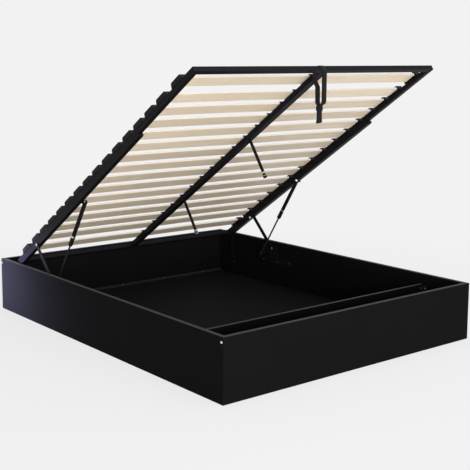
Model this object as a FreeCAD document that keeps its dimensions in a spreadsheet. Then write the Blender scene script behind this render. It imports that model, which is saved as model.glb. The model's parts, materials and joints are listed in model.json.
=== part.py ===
import FreeCAD, Part
import math
import operator
import os
import Sketcher

# Storage bed: a floor-standing box and a slatted frame on gas struts, drawn open.
# X runs across, -Y is the foot end, +Z is up, the origin is under the middle of the box.
# Sizes are in millimetres and degrees. Each one stands in the sheet under its own name.

doc = FreeCAD.newDocument("storage_bed")
sheet = doc.addObject("Spreadsheet::Sheet", "sizes")
V = FreeCAD.Vector
Z_AXIS = V(0, 0, 1)
LEFT = -1
RIGHT = 1
SIDES = ((LEFT, "left"), (RIGHT, "right"))


class Dim:
    """A number together with the sheet expression that gives it."""

    def __init__(self, number, text):
        self.number = float(number)
        self.text = text

    def join(self, sign, act, other, swap=False):
        if not isinstance(other, Dim):
            other = Dim(other, repr(float(other)))
        one, two = (other, self) if swap else (self, other)
        return Dim(act(one.number, two.number), "(%s %s %s)" % (one.text, sign, two.text))

    def __add__(self, other):
        return self.join("+", operator.add, other)

    def __radd__(self, other):
        return self.join("+", operator.add, other, True)

    def __sub__(self, other):
        return self.join("-", operator.sub, other)

    def __rsub__(self, other):
        return self.join("-", operator.sub, other, True)

    def __mul__(self, other):
        return self.join("*", operator.mul, other)

    def __rmul__(self, other):
        return self.join("*", operator.mul, other, True)

    def __truediv__(self, other):
        return self.join("/", operator.truediv, other)

    def __neg__(self):
        return self.join("*", operator.mul, -1)


def size(name, number):
    """Write one named size into the sheet."""
    row = size.count = size.count + 1
    sheet.set("A%d" % row, name)
    sheet.set("B%d" % row, repr(float(number)))
    sheet.setAlias("B%d" % row, name)
    return Dim(number, "sizes." + name)


size.count = 0
NIL = Dim(0, "0")

# Box
box_width = size("box_width", 1650)
box_length = size("box_length", 2060)
box_height = size("box_height", 298)
board_thickness = size("board_thickness", 22)
edge_round = size("edge_round", 1.2)
floor_level = size("floor_level", 20)
floor_thickness = size("floor_thickness", 5)
batten_width = size("batten_width", 30)
fit_gap = size("fit_gap", 0.4)
strip_width = size("strip_width", 12)
strip_height = size("strip_height", 12)
cross_setback = size("cross_setback", 285)
cross_thickness = size("cross_thickness", 16)
bracket_leg = size("bracket_leg", 28)
bracket_height = size("bracket_height", 36)
bracket_thickness = size("bracket_thickness", 3)
bracket_drop = size("bracket_drop", 6)

# Slatted frame: distances run from its foot end, heights from the top of its tubes
tube_size = size("tube_size", 25)
tube_wall = size("tube_wall", 1.5)
centre_rail_width = size("centre_rail_width", 40)
arm_start = size("arm_start", 515)
arm_height = size("arm_height", 16)
arm_wall = size("arm_wall", 2.5)
arm_overhang = size("arm_overhang", 3)
slat_count = size("slat_count", 16)
slat_width = size("slat_width", 70)
slat_thickness = size("slat_thickness", 10)
slat_rise = size("slat_rise", 2)
slat_first = size("slat_first", 132)
slat_end_pitch = size("slat_end_pitch", 138)
slat_middle_gap = size("slat_middle_gap", 4)
cap_base = size("cap_base", 94)
cap_top = size("cap_top", 78)
cap_height = size("cap_height", 24)
cap_round = size("cap_round", 10)
cap_length = size("cap_length", 36)
cap_overhang = size("cap_overhang", 2)
cap_wall = size("cap_wall", 4)
cap_play = size("cap_play", 2.4)
centre_cap_width = size("centre_cap_width", 36)
centre_cap_base = size("centre_cap_base", 78)
leg_front = size("leg_front", 660)
leg_rear = size("leg_rear", 1352)
leg_radius = size("leg_radius", 8)
leg_wall = size("leg_wall", 1.5)
collar_radius = size("collar_radius", 10)
collar_height = size("collar_height", 7)
leg_foot_radius = size("leg_foot_radius", 11)
leg_foot_height = size("leg_foot_height", 24)
leg_foot_pad = size("leg_foot_pad", 8)
leg_foot_chamfer = size("leg_foot_chamfer", 2)
washer_height = size("washer_height", 3)

# Closed and open places of the frame
frame_tilt = size("frame_tilt", 33.8)
frame_side_gap = size("frame_side_gap", 16)
closed_sink = size("closed_sink", 29.5)
closed_foot_gap = size("closed_foot_gap", 7.6)
closed_head_gap = size("closed_head_gap", 8.4)
rest_gap = size("rest_gap", 0.5)

# Lift mechanism
front_pivot_inset = size("front_pivot_inset", 276.1)
rear_pivot_inset = size("rear_pivot_inset", 12)
front_base_inset = size("front_base_inset", 540.78)
front_base_below = size("front_base_below", 18.5)
rear_base_inset = size("rear_base_inset", 138.03)
rear_base_below = size("rear_base_below", 143.5)
strut_pivot_inset = size("strut_pivot_inset", 813)
strut_base_inset = size("strut_base_inset", 485)
strut_base_below = size("strut_base_below", 55.5)
link_thickness = size("link_thickness", 4)
link_half_width = size("link_half_width", 12)
link_offset = size("link_offset", 6)
plate_thickness = size("plate_thickness", 3)
plate_margin = size("plate_margin", 18)
plate_tail = size("plate_tail", 216)
plate_tail_drop = size("plate_tail_drop", 37)
plate_screw_inset = size("plate_screw_inset", 10)
rear_plate_half = size("rear_plate_half", 30)
pin_radius = size("pin_radius", 5)
pin_head_radius = size("pin_head_radius", 8)
pin_head = size("pin_head", 2)
stud_collar_radius = size("stud_collar_radius", 9)
stud_collar = size("stud_collar", 16)
stud_head = size("stud_head", 9)
running_gap = size("running_gap", 0.05)
side_gap = size("side_gap", 0.3)
free_gap = size("free_gap", 0.5)
strut_offset = size("strut_offset", 13)
strut_drop = size("strut_drop", 12)
tab_half = size("tab_half", 13)
tab_thickness = size("tab_thickness", 3)
strut_radius = size("strut_radius", 11)
strut_wall = size("strut_wall", 1.5)
strut_slack = size("strut_slack", 1.9)
strut_top = size("strut_top", 16)
gland_length = size("gland_length", 6)
rod_radius = size("rod_radius", 5)
piston_length = size("piston_length", 5)
piston_gap = size("piston_gap", 0.4)
eye_radius = size("eye_radius", 10)
eye_width = size("eye_width", 12)

# Fasteners and strap
bolt_radius = size("bolt_radius", 3)
bolt_head_radius = size("bolt_head_radius", 6)
bolt_head = size("bolt_head", 3)
bolt_length = size("bolt_length", 45)
bolt_drop = size("bolt_drop", 24)
screw_radius = size("screw_radius", 2)
screw_head_radius = size("screw_head_radius", 4.5)
screw_head = size("screw_head", 2.5)
screw_length = size("screw_length", 12)
bore_gap = size("bore_gap", 0.1)
strap_offset = size("strap_offset", -24)
strap_skew = size("strap_skew", 22)
strap_width = size("strap_width", 25)
strap_thickness = size("strap_thickness", 1.5)
strap_loop = size("strap_loop", 165)
strap_gather = size("strap_gather", 16)
strap_length = size("strap_length", 256)
buckle_border = size("buckle_border", 3)
buckle_height = size("buckle_height", 22)

# Sizes that follow from the ones above
half_width = box_width / 2
half_length = box_length / 2
inner_half_width = half_width - board_thickness
inner_half_length = half_length - board_thickness
frame_half = inner_half_width - frame_side_gap
frame_width = 2 * frame_half
frame_length = 2 * inner_half_length - closed_foot_gap - closed_head_gap
arm_inner = frame_half - tube_size
arm_outer = frame_half + arm_overhang
pivot_depth = tube_size + arm_height / 2
strut_depth = pivot_depth + strut_drop
front_pivot = frame_length - front_pivot_inset
rear_pivot = frame_length - rear_pivot_inset
strut_pivot = frame_length - strut_pivot_inset
closed_level = box_height - closed_sink
front_base_run = inner_half_length - front_base_inset
front_base_level = closed_level - front_base_below
rear_base_run = inner_half_length - rear_base_inset
rear_base_level = closed_level - rear_base_below
strut_base_run = inner_half_length - strut_base_inset
strut_base_level = closed_level - strut_base_below
closed_foot = closed_foot_gap - inner_half_length
rest_level = closed_level - tube_size - rest_gap
leg_length = closed_level - tube_size - floor_level - rest_gap
slat_pitch = (frame_length - 2 * (slat_first + slat_end_pitch)) / (slat_count - 3)
cap_inner = frame_half + cap_overhang - cap_length
slot_width = slat_width + 2 * fit_gap
slot_height = slat_thickness + cap_play
link_inner = frame_half + link_offset
link_outer = link_inner + link_thickness
plate_face = inner_half_width - plate_thickness
strut_axis = arm_inner - strut_offset
strut_inner = strut_axis - eye_width / 2
strut_outer = strut_axis + eye_width / 2
bolt_level = box_height - bolt_drop
bolt_run = half_length - board_thickness / 2
bore_radius = screw_radius + bore_gap
loop_radius = tube_size * math.sqrt(0.5) + side_gap


def turned_vector(along, depth, angle):
    """Place in the Y-Z plane of a frame point after the frame is tilted foot-up."""
    lean = math.radians(angle)
    run = along * math.cos(lean) - depth * math.sin(lean)
    rise = -along * math.sin(lean) - depth * math.cos(lean)
    return run, rise


def span(one, two):
    return math.hypot(two[0] - one[0], two[1] - one[1])


def bearing(one, two):
    return math.degrees(math.atan2(two[1] - one[1], two[0] - one[0]))


def closed_point(along, depth):
    run = closed_foot.number + along.number
    return run, closed_level.number - depth.number


# The closed pose gives the link lengths, and the tilt then gives the open pose: the frame's
# foot corner lies where the circles of the two links cross.
front_base = (front_base_run.number, front_base_level.number)
rear_base = (rear_base_run.number, rear_base_level.number)
strut_base = (strut_base_run.number, strut_base_level.number)
front_link_number = span(front_base, closed_point(front_pivot, pivot_depth))
rear_link_number = span(rear_base, closed_point(rear_pivot, pivot_depth))
front_arm = turned_vector(front_pivot.number, pivot_depth.number, frame_tilt.number)
rear_arm = turned_vector(rear_pivot.number, pivot_depth.number, frame_tilt.number)
centre_one = (front_base[0] - front_arm[0], front_base[1] - front_arm[1])
centre_two = (rear_base[0] - rear_arm[0], rear_base[1] - rear_arm[1])
gap = span(centre_one, centre_two)
share = (front_link_number ** 2 - rear_link_number ** 2 + gap ** 2) / (2 * gap)
height = math.sqrt(max(front_link_number ** 2 - share ** 2, 0.0))
unit = ((centre_two[0] - centre_one[0]) / gap, (centre_two[1] - centre_one[1]) / gap)
corners = []
for turn in (1, -1):
    run = centre_one[0] + share * unit[0] - turn * height * unit[1]
    rise = centre_one[1] + share * unit[1] + turn * height * unit[0]
    corners.append((rise, run))
open_rise, open_run = max(corners)


def open_point(along, depth):
    run, rise = turned_vector(along.number, depth.number, frame_tilt.number)
    return open_run + run, open_rise + rise


front_joint = open_point(front_pivot, pivot_depth)
rear_joint = open_point(rear_pivot, pivot_depth)
strut_joint = open_point(strut_pivot, strut_depth)
strap_joint = open_point(tube_size / 2, tube_size / 2)
strut_closed = span(closed_point(strut_pivot, strut_depth), strut_base)
front_link_length = size("front_link_length", front_link_number)
rear_link_length = size("rear_link_length", rear_link_number)
strut_length = size("strut_length", span(strut_joint, strut_base))
strut_stroke = size("strut_stroke", strut_length.number - strut_closed)
strut_body = strut_top + strut_stroke + strut_slack + piston_length + piston_gap + gland_length
sheet.recompute()

FRAME_PLACE = FreeCAD.Placement(V(0, open_run, open_rise), FreeCAD.Rotation(V(1, 0, 0), -frame_tilt.number))


def sketch(body, role, offset=None):
    """New sketch on one of the body's own planes, moved along its normal if asked."""
    drawing = body.newObject("Sketcher::SketchObject", body.Name + "_sketch")
    plane = [item for item in body.Origin.OriginFeatures if item.Role == role][0]
    drawing.AttachmentSupport = (plane, [""])
    drawing.MapMode = "FlatFace"
    if offset is not None:
        drawing.setExpression("AttachmentOffset.Base.z", offset.text)
    return drawing


def bind(drawing, kind, where, dim):
    number = drawing.addConstraint(Sketcher.Constraint(kind, *where, dim.number))
    drawing.setExpression("Constraints[%d]" % number, dim.text)


def hold(drawing, line, end, place):
    bind(drawing, "DistanceX", (-1, 1, line, end), place[0])
    bind(drawing, "DistanceY", (-1, 1, line, end), place[1])


def spot(place):
    return V(place[0].number, place[1].number, 0)


def outline(drawing, places):
    """Closed polygon whose corners are held at places taken from the sheet."""
    first = drawing.GeometryCount
    total = len(places)
    for index in range(total):
        ends = (spot(places[index]), spot(places[(index + 1) % total]))
        drawing.addGeometry(Part.LineSegment(*ends), False)
    for index in range(total):
        after = first + (index + 1) % total
        drawing.addConstraint(Sketcher.Constraint("Coincident", first + index, 2, after, 1))
        hold(drawing, first + index, 1, places[index])


def rectangle(drawing, low, high):
    outline(drawing, [low, (high[0], low[1]), high, (low[0], high[1])])


def ring(drawing, place, radius):
    number = drawing.addGeometry(Part.Circle(spot(place), Z_AXIS, radius.number), False)
    hold(drawing, number, 3, place)
    bind(drawing, "Radius", (number,), radius)


def slot(drawing, start, end, level, radius):
    """Bar with round ends along the sketch's first axis."""
    low = level.number - radius.number
    top = level.number + radius.number
    quarter = math.pi / 2
    one = Part.Circle(spot((start, level)), Z_AXIS, radius.number)
    two = Part.Circle(spot((end, level)), Z_AXIS, radius.number)
    first = drawing.addGeometry(Part.ArcOfCircle(one, quarter, 3 * quarter), False)
    drawing.addGeometry(Part.LineSegment(V(start.number, low, 0), V(end.number, low, 0)), False)
    drawing.addGeometry(Part.ArcOfCircle(two, -quarter, quarter), False)
    drawing.addGeometry(Part.LineSegment(V(end.number, top, 0), V(start.number, top, 0)), False)
    for index in range(4):
        after = first + (index + 1) % 4
        drawing.addConstraint(Sketcher.Constraint("Tangent", first + index, 2, after, 1))
    drawing.addConstraint(Sketcher.Constraint("Equal", first, first + 2))
    hold(drawing, first, 3, (start, level))
    hold(drawing, first + 2, 3, (end, level))
    bind(drawing, "Radius", (first,), radius)


def pad(body, drawing, length, symmetric=False, reverse=False):
    feature = body.newObject("PartDesign::Pad", body.Name + "_pad")
    feature.Profile = drawing
    feature.SideType = "Symmetric" if symmetric else "One side"
    feature.Reversed = reverse
    feature.setExpression("Length", length.text)
    return feature


def pocket(body, drawing, length=None, reverse=False):
    """Cut of a given depth, or right through both ways where no depth is given."""
    feature = body.newObject("PartDesign::Pocket", body.Name + "_pocket")
    feature.Profile = drawing
    feature.Reversed = reverse
    if length is None:
        feature.Type = "ThroughAll"
        feature.SideType = "Symmetric"
    else:
        feature.setExpression("Length", length.text)
    return feature


def new_body(name):
    return doc.addObject("PartDesign::Body", name)


def turned(name, places):
    """Round piece: a profile of (distance along X, radius) turned about X."""
    body = new_body(name)
    drawing = sketch(body, "XY_Plane")
    outline(drawing, places)
    feature = body.newObject("PartDesign::Revolution", name + "_turn")
    feature.Profile = drawing
    feature.ReferenceAxis = (drawing, ["H_Axis"])
    feature.Angle = 360
    return body


def facing(item, side, across, run, rise):
    """Stand a turned piece at a place with its X axis pointing away from the middle."""
    turn = FreeCAD.Rotation(Z_AXIS, 0 if side == RIGHT else 180)
    item.Placement = FreeCAD.Placement(V(side * across.number, run, rise), turn)
    return item


def inward(item, side, across, run, rise):
    turn = FreeCAD.Rotation(Z_AXIS, 180 if side == RIGHT else 0)
    item.Placement = FreeCAD.Placement(V(side * across.number, run, rise), turn)
    return item


def swung(item, across, place, angle):
    """Lay a piece drawn along X into the Y-Z plane at an angle, its Z axis across the bed."""
    lean = math.radians(angle)
    axis = V(0, math.cos(lean), math.sin(lean))
    cross = V(0, -math.sin(lean), math.cos(lean))
    turn = FreeCAD.Rotation(axis, cross, V(1, 0, 0), "ZXY")
    item.Placement = FreeCAD.Placement(V(across.number, place[0], place[1]), turn)
    return item


def block(name, low, spread):
    """Box with its low corner and its three lengths taken from the sheet."""
    item = doc.addObject("Part::Box", name)
    for key, dim in zip(("Length", "Width", "Height"), spread):
        item.setExpression(key, dim.text)
    for key, dim in zip("xyz", low):
        item.setExpression("Placement.Base." + key, dim.text)
    return item


def rod_cut(name, radius, length, place, direction):
    item = doc.addObject("Part::Cylinder", name)
    item.setExpression("Radius", radius.text)
    item.setExpression("Height", length.text)
    base = V(*[dim.number for dim in place])
    item.Placement = FreeCAD.Placement(base, FreeCAD.Rotation(Z_AXIS, direction))
    return item


def cut(name, base, tools):
    """Board or plate with bores: the tools are joined and taken away from the base."""
    tool = tools[0]
    if len(tools) > 1:
        tool = doc.addObject("Part::MultiFuse", name + "_bores")
        tool.Shapes = tools
    item = doc.addObject("Part::Cut", name)
    item.Base = base
    item.Tool = tool
    return item


def rounded(name, base, test, radius):
    """Round the edges of a Part object that pass the test."""
    doc.recompute()
    item = doc.addObject("Part::Fillet", name)
    item.Base = base
    chosen = []
    for number, edge in enumerate(base.Shape.Edges, 1):
        if test(edge):
            chosen.append((number, radius.number, radius.number))
    item.Edges = chosen
    return item


def soften(body, base, test, radius):
    """Round the edges of a body's last feature that pass the test."""
    doc.recompute()
    names = []
    for number, edge in enumerate(base.Shape.Edges, 1):
        if test(edge):
            names.append("Edge%d" % number)
    feature = body.newObject("PartDesign::Fillet", body.Name + "_round")
    feature.Base = (base, names)
    feature.setExpression("Radius", radius.text)
    return feature


SUBPARTS = []


def node(name, item):
    item.Label = name
    SUBPARTS.append((name, item))
    return item


def group(name, items, place=None):
    """One node of several separate solids."""
    item = doc.addObject("Part::Compound", name)
    item.Links = items
    if place is not None:
        item.Placement = place
    return node(name, item)


def at_top(edge):
    return all(abs(corner.Z - box_height.number) < 0.01 for corner in edge.Vertexes)


# Screws: each is one turned solid, with its bore in the board or plate behind it
screws = []
side_bores = {LEFT: [], RIGHT: []}
plate_bores = {}


def screw(name):
    """Pan-head screw along X with the head's seat at zero and the shank behind it."""
    slope = screw_head_radius * 0.7
    profile = [(-screw_length, NIL), (-screw_length, screw_radius), (NIL, screw_radius)]
    profile += [(NIL, screw_head_radius), (screw_head / 2, screw_head_radius)]
    profile += [(screw_head, slope), (screw_head, NIL)]
    return turned(name, profile)


def plate_screw(owner, side, across, run, rise):
    """Screw through a plate on a side panel, with its bores in the plate and the panel."""
    name = "screw_%02d" % len(screws)
    screws.append(inward(screw(name), side, across, run.number, rise.number))
    deep = screw_length + 2 * free_gap
    for target, key in ((side_bores[side], "panel"), (plate_bores.setdefault(owner, []), "plate")):
        low = across - free_gap if side == RIGHT else -across - deep + free_gap
        spread = (low, run, rise)
        target.append(rod_cut(name + "_" + key, bore_radius, deep, spread, V(1, 0, 0)))


def plate(name, side, places, owner=None):
    """Flat steel plate on a side panel, with bores for its screws."""
    body = new_body(name + "_sheet")
    start = plate_face if side == RIGHT else -inner_half_width
    drawing = sketch(body, "YZ_Plane", start)
    outline(drawing, places)
    pad(body, drawing, plate_thickness)
    return cut(name, body, plate_bores[owner or name])


# Base plates, front ones with a tail along the panel, and the rear ones
front_plates = {}
rear_plates = []
plate_low = strut_base_level - plate_margin
plate_high = front_base_level + plate_margin
plate_head = strut_base_run + plate_margin * 2
plate_foot = front_base_run - plate_margin * 2
tail_low = strut_base_level - plate_tail_drop - plate_margin
tail_high = strut_base_level - plate_tail_drop + plate_margin
tail_end = strut_base_run - plate_tail - plate_margin
for side, word in SIDES:
    name = word + "_base_plate"
    inset = plate_screw_inset
    plate_screw(name, side, plate_face, strut_base_run - plate_tail, strut_base_level - plate_tail_drop)
    plate_screw(name, side, plate_face, plate_head - inset, plate_high - inset)
    plate_screw(name, side, plate_face, plate_head - inset, tail_low + inset)
    plate_screw(name, side, plate_face, plate_foot - inset, tail_low + inset)
    shape = [(tail_end, tail_low), (plate_head, tail_low), (plate_head, plate_high)]
    shape += [(plate_foot, plate_high), (plate_foot - inset * 2, tail_high), (tail_end, tail_high)]
    front_plates[word] = plate(name, side, shape)
    name = word + "_rear_plate"
    half = rear_plate_half
    for turn in (1, -1):
        run = rear_base_run + turn * (half - inset)
        rise = rear_base_level + turn * (half - inset)
        plate_screw(name, side, plate_face, run, rise)
    shape = [(rear_base_run - half, rear_base_level - half), (rear_base_run + half, rear_base_level - half)]
    shape += [(rear_base_run + half, rear_base_level + half), (rear_base_run - half, rear_base_level + half)]
    rear_plates.append(plate(name, side, shape))

# Cross board that the closed frame rests on, with a steel angle at each end
cross_foot = cross_setback - half_length
cross_top = rest_level
bracket_top = cross_top - bracket_drop
bracket_mid = bracket_top - bracket_height / 2
angles = []
board_bores = []
for side, word in SIDES:
    name = word + "_angle"
    leg_face = inner_half_width - bracket_thickness
    plate_screw(name, side, leg_face, cross_foot - bracket_leg + plate_screw_inset, bracket_mid)
    near = bracket_leg - plate_screw_inset
    across = side * (inner_half_width - near)
    fixing = screw("screw_%02d" % len(screws))
    seat = cross_foot - bracket_thickness
    turn = FreeCAD.Rotation(Z_AXIS, -90)
    fixing.Placement = FreeCAD.Placement(V(across.number, seat.number, bracket_mid.number), turn)
    screws.append(fixing)
    bores = []
    for key in ("board", "angle"):
        low = (across, seat - free_gap, bracket_mid)
        bores.append(rod_cut(word + "_" + key, bore_radius, screw_length + 2 * free_gap, low, V(0, 1, 0)))
    board_bores.append(bores[0])
    plate_bores[name].append(bores[1])
    body = new_body(name + "_steel")
    drawing = sketch(body, "XY_Plane", bracket_top - bracket_height)
    wall = side * inner_half_width
    inner_wall = side * leg_face
    tip = side * (inner_half_width - bracket_leg)
    shape = [(wall, cross_foot), (tip, cross_foot), (tip, cross_foot - bracket_thickness)]
    shape += [(inner_wall, cross_foot - bracket_thickness), (inner_wall, cross_foot - bracket_leg)]
    shape += [(wall, cross_foot - bracket_leg)]
    outline(drawing, shape)
    pad(body, drawing, bracket_height)
    angles.append(cut(name, body, plate_bores[name]))
cross_low = (fit_gap - inner_half_width, cross_foot, floor_level)
cross_spread = (2 * (inner_half_width - fit_gap), cross_thickness, cross_top - floor_level)
cross_board = cut("cross_board", block("cross_blank", cross_low, cross_spread), board_bores)

# Strip that holds the floor down along the head panel
strip_face = inner_half_length - strip_width
strip_low = (fit_gap - inner_half_width, strip_face, floor_level)
strip_spread = (2 * (inner_half_width - fit_gap), strip_width, strip_height)
strip_bores = []
head_bores = []
for part in (-0.8, -0.4, 0, 0.4, 0.8):
    across = inner_half_width * part
    rise = floor_level + strip_height / 2
    fixing = screw("screw_%02d" % len(screws))
    turn = FreeCAD.Rotation(Z_AXIS, -90)
    fixing.Placement = FreeCAD.Placement(V(across.number, strip_face.number, rise.number), turn)
    screws.append(fixing)
    for target, key in ((strip_bores, "strip"), (head_bores, "head")):
        low = (across, strip_face - free_gap, rise)
        name = fixing.Name + "_" + key
        target.append(rod_cut(name, bore_radius, screw_length + 2 * free_gap, low, V(0, 1, 0)))
floor_strip = cut("floor_strip", block("strip_blank", strip_low, strip_spread), strip_bores)

# Panels: the side boards run the full length, the end boards stand between them
bolts = []
end_bores = {-1: [], 1: head_bores}
bolt_bore = bolt_radius + bore_gap
for side, word in SIDES:
    for end in (-1, 1):
        name = "%s_bolt_%s" % (word, "foot" if end < 0 else "head")
        profile = [(-bolt_length, NIL), (-bolt_length, bolt_radius), (NIL, bolt_radius)]
        profile += [(NIL, bolt_head_radius), (bolt_head / 2, bolt_head_radius)]
        profile += [(bolt_head, bolt_head_radius * 0.6), (bolt_head, NIL)]
        bolt = facing(turned(name, profile), side, half_width, end * bolt_run.number, bolt_level.number)
        bolts.append(bolt)
        deep = bolt_length + 2 * free_gap
        low = half_width - bolt_length - free_gap if side == RIGHT else -half_width - free_gap
        for target, key in ((side_bores[side], "side"), (end_bores[end], "end")):
            where = (low, end * bolt_run, bolt_level)
            target.append(rod_cut(name + "_" + key, bolt_bore, deep, where, V(1, 0, 0)))
for side, word in SIDES:
    low = (-half_width if side == LEFT else inner_half_width, -half_length, NIL)
    blank = block(word + "_blank", low, (board_thickness, box_length, box_height))
    eased = rounded(word + "_eased", blank, at_top, edge_round)
    node(word + "_side_panel", cut(word + "_side_panel", eased, side_bores[side]))
for end, word in ((-1, "foot"), (1, "head")):
    low = (-inner_half_width, -half_length if end < 0 else inner_half_length, NIL)
    blank = block(word + "_blank", low, (2 * inner_half_width, board_thickness, box_height))
    eased = rounded(word + "_eased", blank, at_top, edge_round)
    node(word + "_panel", cut(word + "_panel", eased, end_bores[end]))
board_low = floor_level - floor_thickness
for side, word in SIDES:
    low = (fit_gap - inner_half_width if side == LEFT else fit_gap / 2, fit_gap - inner_half_length, board_low)
    spread = (inner_half_width - 1.5 * fit_gap, 2 * (inner_half_length - fit_gap), floor_thickness)
    node(word + "_floor_board", block(word + "_floor", low, spread))
battens = []
for number, across in enumerate((-inner_half_width, -batten_width / 2, inner_half_width - batten_width)):
    low = (across, -inner_half_length, NIL)
    battens.append(block("batten_%d" % number, low, (batten_width, 2 * inner_half_length, board_low)))
group("floor_battens", battens)
node("floor_strip", floor_strip)
node("cross_board", cross_board)
group("cross_board_brackets", angles)
group("corner_bolts", bolts)
node("left_base_plate", front_plates["left"])
node("right_base_plate", front_plates["right"])
group("rear_base_plates", rear_plates)
group("base_plate_screws", screws)


def link_pin(name, seat, bar_near, bar_far, head=pin_head):
    """Riveted pin: a shoulder up to the bar, a shaft through it and a head beyond."""
    reach = bar_near - seat - side_gap
    shaft = bar_far - seat + side_gap
    profile = [(NIL, NIL), (NIL, pin_head_radius), (reach, pin_head_radius), (reach, pin_radius)]
    profile += [(shaft, pin_radius), (shaft, pin_head_radius), (shaft + head / 2, pin_head_radius)]
    profile += [(shaft + head, pin_head_radius * 0.6), (shaft + head, NIL)]
    return turned(name, profile)


# Pins on the base plates; the strut studs end just short of the rod eyes
pins = []
for side, word in SIDES:
    for key, place in (("front", front_base), ("rear", rear_base)):
        pin = link_pin(word + "_%s_pin" % key, NIL, plate_face - link_outer, plate_face - link_inner)
        pins.append(inward(pin, side, plate_face, *place))
    reach = plate_face - strut_outer - free_gap
    profile = [(NIL, NIL), (NIL, stud_collar_radius), (stud_collar, stud_collar_radius)]
    profile += [(stud_collar + pin_head, pin_radius), (reach, pin_radius), (reach, NIL)]
    pins.append(inward(turned(word + "_strut_stud", profile), side, plate_face, *strut_base))
group("base_pivot_pins", pins)


def square_tube(name, role, offset, across, level, length):
    """Hollow tube: a section with a middle place and sizes, padded along its normal."""
    body = new_body(name)
    drawing = sketch(body, role, offset)
    wide, tall = across[1] / 2, level[1] / 2
    rectangle(drawing, (across[0] - wide, level[0] - tall), (across[0] + wide, level[0] + tall))
    thin, low = wide - tube_wall, tall - tube_wall
    rectangle(drawing, (across[0] - thin, level[0] - low), (across[0] + thin, level[0] + low))
    pad(body, drawing, length, symmetric=True)
    return body


def mitre(body, corners):
    drawing = sketch(body, "XY_Plane")
    outline(drawing, corners)
    pocket(body, drawing)


def framed(name, body):
    body.Placement = FRAME_PLACE
    return node(name, body)


# Frame tubes with mitred corners, and the rail along the middle
tube_mid = -tube_size / 2
for side, word in SIDES:
    outer, inner = side * frame_half, side * arm_inner
    name = word + "_side_rail"
    mid = side * (frame_half - tube_size / 2)
    body = square_tube(name, "XZ_Plane", -frame_length / 2, (mid, tube_size), (tube_mid, tube_size), frame_length)
    mitre(body, [(outer, NIL), (inner, NIL), (inner, tube_size)])
    mitre(body, [(outer, frame_length), (inner, frame_length), (inner, frame_length - tube_size)])
    framed(name, body)
for word, outer, inner in (("foot", NIL, tube_size), ("head", frame_length, frame_length - tube_size)):
    name = word + "_tube"
    mid = (outer + inner) / 2
    body = square_tube(name, "YZ_Plane", None, (mid, tube_size), (tube_mid, tube_size), frame_width)
    for side in (LEFT, RIGHT):
        edge = side * frame_half
        mitre(body, [(edge, outer), (edge, inner), (side * arm_inner, inner)])
    framed(name, body)
inside = frame_length - 2 * tube_size
rail = square_tube("centre_rail", "XZ_Plane", -frame_length / 2, (NIL, centre_rail_width), (tube_mid, tube_size), inside)
framed("centre_rail", rail)

# Lift arms: channels welded under the side rails, with round ends
for side, word in SIDES:
    name = word + "_lift_arm"
    body = new_body(name)
    drawing = sketch(body, "YZ_Plane", arm_inner if side == RIGHT else -arm_outer)
    round_end = arm_height / 2
    slot(drawing, arm_start + round_end, rear_pivot, -pivot_depth, round_end)
    pad(body, drawing, arm_outer - arm_inner)
    hollow = sketch(body, "XY_Plane", -tube_size)
    near, far = side * (arm_inner + arm_wall), side * (arm_outer - arm_wall)
    rectangle(hollow, (near, arm_start + arm_height), (far, rear_pivot - arm_height))
    pocket(body, hollow, arm_height - arm_wall)
    tab = sketch(body, "YZ_Plane", arm_inner if side == RIGHT else -arm_inner)
    outline(tab, [(strut_pivot - 2 * tab_half, -tube_size), (strut_pivot - tab_half, -strut_depth),
                  (strut_pivot - tab_half / 2, -strut_depth - tab_half), (strut_pivot + tab_half / 2, -strut_depth - tab_half),
                  (strut_pivot + tab_half, -strut_depth), (strut_pivot + 2 * tab_half, -tube_size)])
    pad(body, tab, tab_thickness, reverse=side == LEFT)
    framed(name, body)
pins = []
for side, word in SIDES:
    pin = link_pin(word + "_front_arm_pin", NIL, link_inner - arm_outer, link_outer - arm_outer)
    pins.append(facing(pin, side, arm_outer, front_pivot.number, -pivot_depth.number))
    reach = link_inner - arm_outer - free_gap
    profile = [(NIL, NIL), (NIL, pin_head_radius * 0.9), (reach, pin_head_radius * 0.9), (reach, NIL)]
    stub = turned(word + "_rear_arm_pin", profile)
    pins.append(facing(stub, side, arm_outer, rear_pivot.number, -pivot_depth.number))
    stud = link_pin(word + "_strut_arm_pin", NIL, arm_inner - strut_outer, arm_inner - strut_inner, stud_head)
    pins.append(inward(stud, side, arm_inner, strut_pivot.number, -strut_depth.number))
group("arm_pivot_pins", pins, FRAME_PLACE)

# Sprung slats in rows of two, each bowed upward a little
slat_foot = cap_wall + fit_gap
slat_end = frame_half + cap_overhang - cap_wall - 2 * fit_gap
chord = slat_end - slat_middle_gap / 2
bow = chord * chord / (8 * slat_rise) + slat_rise / 2


def slat(name, side, along):
    body = new_body(name)
    drawing = sketch(body, "XZ_Plane")
    right, left = slat_end, slat_middle_gap / 2
    if side == LEFT:
        right, left = -slat_middle_gap / 2, -slat_end
    middle = (right + left) / 2
    levels = (slat_foot, slat_foot + slat_thickness)
    for level in levels:
        arc = Part.Arc(spot((right, level)), spot((middle, level + slat_rise)), spot((left, level)))
        drawing.addGeometry(arc, False)
    low, high = levels
    drawing.addGeometry(Part.LineSegment(spot((right, low)), spot((right, high))), False)
    drawing.addGeometry(Part.LineSegment(spot((left, high)), spot((left, low))), False)
    for one, end, two, start in ((0, 1, 2, 1), (2, 2, 1, 1), (1, 2, 3, 1), (3, 2, 0, 2)):
        drawing.addConstraint(Sketcher.Constraint("Coincident", one, end, two, start))
    hold(drawing, 2, 1, (right, low))
    hold(drawing, 2, 2, (right, high))
    hold(drawing, 3, 1, (left, high))
    hold(drawing, 3, 2, (left, low))
    bind(drawing, "Radius", (0,), bow)
    bind(drawing, "Radius", (1,), bow)
    pad(body, drawing, slat_width, symmetric=True)
    body.setExpression("Placement.Base.y", along.text)
    return body


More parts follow.
